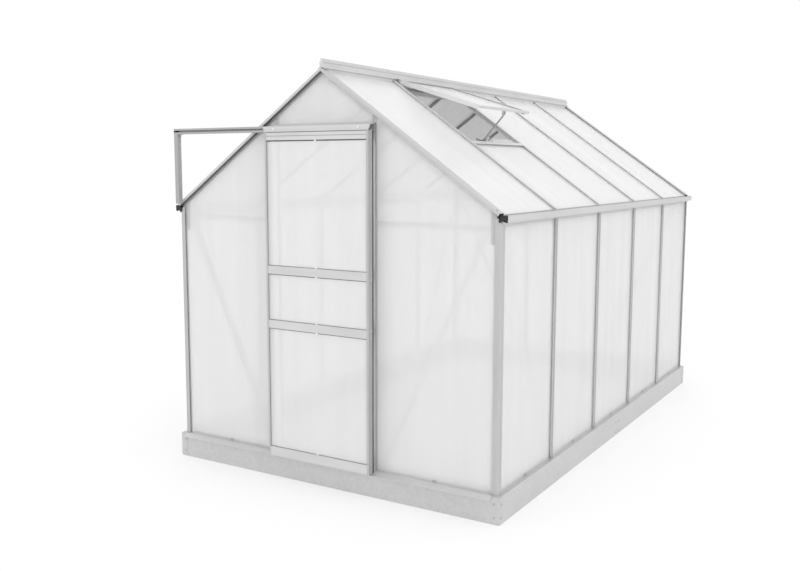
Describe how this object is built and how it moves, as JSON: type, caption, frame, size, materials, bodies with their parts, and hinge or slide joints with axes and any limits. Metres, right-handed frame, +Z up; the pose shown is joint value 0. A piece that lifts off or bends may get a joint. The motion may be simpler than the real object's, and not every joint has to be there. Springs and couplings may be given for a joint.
{
  "type": "greenhouse",
  "caption": "Walk-in garden greenhouse with an aluminium frame, clear twin-wall sheets, a sliding door, an opening roof vent, gutters and a raised metal base.",
  "frame": {"origin": "centre of the base's footprint, on the ground", "axes": "+X across the gable towards the wall with the roof vent's slope, +Y along the ridge away from the door, +Z up"},
  "size_m": [1.924, 3.2077, 2.068],
  "materials": {
    "base_steel": "satin galvanised",
    "aluminium": "satin mill finish",
    "twin_wall_sheet": "clear twin-wall sheet with fine ribs",
    "black_plastic": "matt",
    "bright_steel": "bright zinc"
  },
  "bodies": {
    "frame": {"base_front": "base_steel", "base_back": "base_steel", "base_right_front": "base_steel", "base_right_rear": "base_steel", "base_left_front": "base_steel", "base_left_rear": "base_steel", "base_corner_plates": "base_steel", "base_bolts": "bright_steel", "corner_post_front_right": "aluminium", "corner_post_front_left": "aluminium", "corner_post_back_right": "aluminium", "corner_post_back_left": "aluminium", "wall_bars_right": "aluminium", "wall_bars_left": "aluminium", "side_sill_right": "aluminium", "side_sill_left": "aluminium", "sill_front": "aluminium", "sill_back": "aluminium", "gutter_right": "aluminium", "gutter_left": "aluminium", "end_caps": "black_plastic", "rafter_front_right": "aluminium", "rafter_front_left": "aluminium", "rafter_back_right": "aluminium", "rafter_back_left": "aluminium", "roof_bars_right": "aluminium", "roof_bars_left": "aluminium", "ridge_beam": "aluminium", "door_jambs": "aluminium", "back_posts": "aluminium", "gable_crossbars": "aluminium", "header_beam": "aluminium", "eave_brackets": "bright_steel", "door_track": "aluminium", "track_stops": "black_plastic", "track_strut": "aluminium", "wall_braces": "aluminium", "gable_braces": "aluminium", "wall_panels_right": "twin_wall_sheet", "wall_panels_left": "twin_wall_sheet", "roof_panels_right": "twin_wall_sheet", "roof_panels_left": "twin_wall_sheet", "gable_panels_front": "twin_wall_sheet", "gable_panels_back": "twin_wall_sheet", "panel_clips": "bright_steel", "frame_bolts": "bright_steel", "vent_transom": "aluminium"},
    "door": {"door_stiles": "aluminium", "door_rails": "aluminium", "door_header": "aluminium", "door_panels": "twin_wall_sheet", "door_clips": "bright_steel", "door_screws": "bright_steel"},
    "wheel_left": {"wheel_left": "black_plastic"},
    "wheel_right": {"wheel_right": "black_plastic"},
    "vent": {"vent_head_rail": "aluminium", "vent_side_rails": "aluminium", "vent_bottom_rail": "aluminium", "vent_panel": "twin_wall_sheet"},
    "stay": {"vent_stay": "bright_steel"}
  },
  "joints": [
    {"name": "door_slide", "type": "slide", "parent": "frame", "child": "door", "axis": [-1, 0, 0], "range_m": [0, 0.58]},
    {"name": "wheel_left_spin", "type": "hinge", "parent": "door", "child": "wheel_left", "pos_m": [-0.244, -1.595, 1.745], "axis": [0, -1, 0], "range_deg": [-10, 2850]},
    {"name": "wheel_right_spin", "type": "hinge", "parent": "door", "child": "wheel_right", "pos_m": [0.244, -1.595, 1.745], "axis": [0, -1, 0], "range_deg": [-10, 2850]},
    {"name": "vent_hinge", "type": "hinge", "parent": "frame", "child": "vent", "pos_m": [0.017, -0.6244, 2.02405], "axis": [0, -1, 0], "range_deg": [-17.8, 20]},
    {"name": "stay_pivot", "type": "hinge", "parent": "vent", "child": "stay", "pos_m": [0.4994, -0.6244, 1.84458], "axis": [0, -1, 0], "range_deg": [-21, 19]}
  ],
  "couplings": [
    {"joint": "wheel_left_spin", "follows": "door_slide", "rad_per_m": 85.47},
    {"joint": "wheel_right_spin", "follows": "door_slide", "rad_per_m": 85.47},
    {"joint": "stay_pivot", "follows": "vent_hinge", "ratio": -1}
  ]
}
